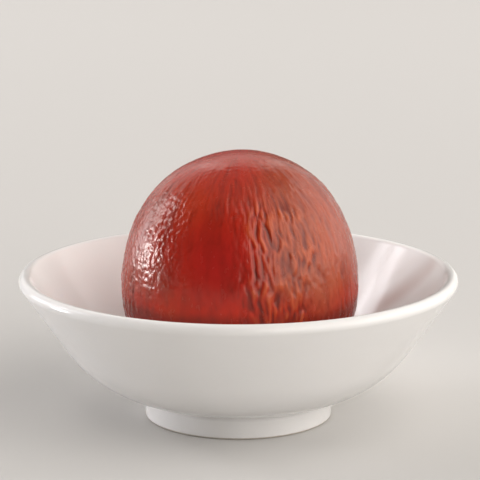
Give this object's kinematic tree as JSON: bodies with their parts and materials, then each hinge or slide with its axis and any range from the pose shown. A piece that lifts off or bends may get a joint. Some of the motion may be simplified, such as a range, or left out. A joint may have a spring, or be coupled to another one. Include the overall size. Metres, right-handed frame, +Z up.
{
  "type": "gulab jamun in a bowl",
  "caption": "Large round syrup-soaked fried milk-dough ball resting upright in a small flared white porcelain bowl with a rounded lip and a foot ring.",
  "frame": {"origin": "on the ground, under the centre of the bowl", "axes": "+Z up, front of the part at -Y, +X to the right as seen from the front"},
  "size_m": [0.0876, 0.0876, 0.0538],
  "materials": {
    "porcelain": "plain white porcelain under a clear gloss glaze",
    "soaked_crust": "deep red-brown fried crust, soaked in syrup and wet all over"
  },
  "bodies": {
    "root": {"bowl": "porcelain", "gulab_jamun": "soaked_crust"}
  },
  "joints": []
}
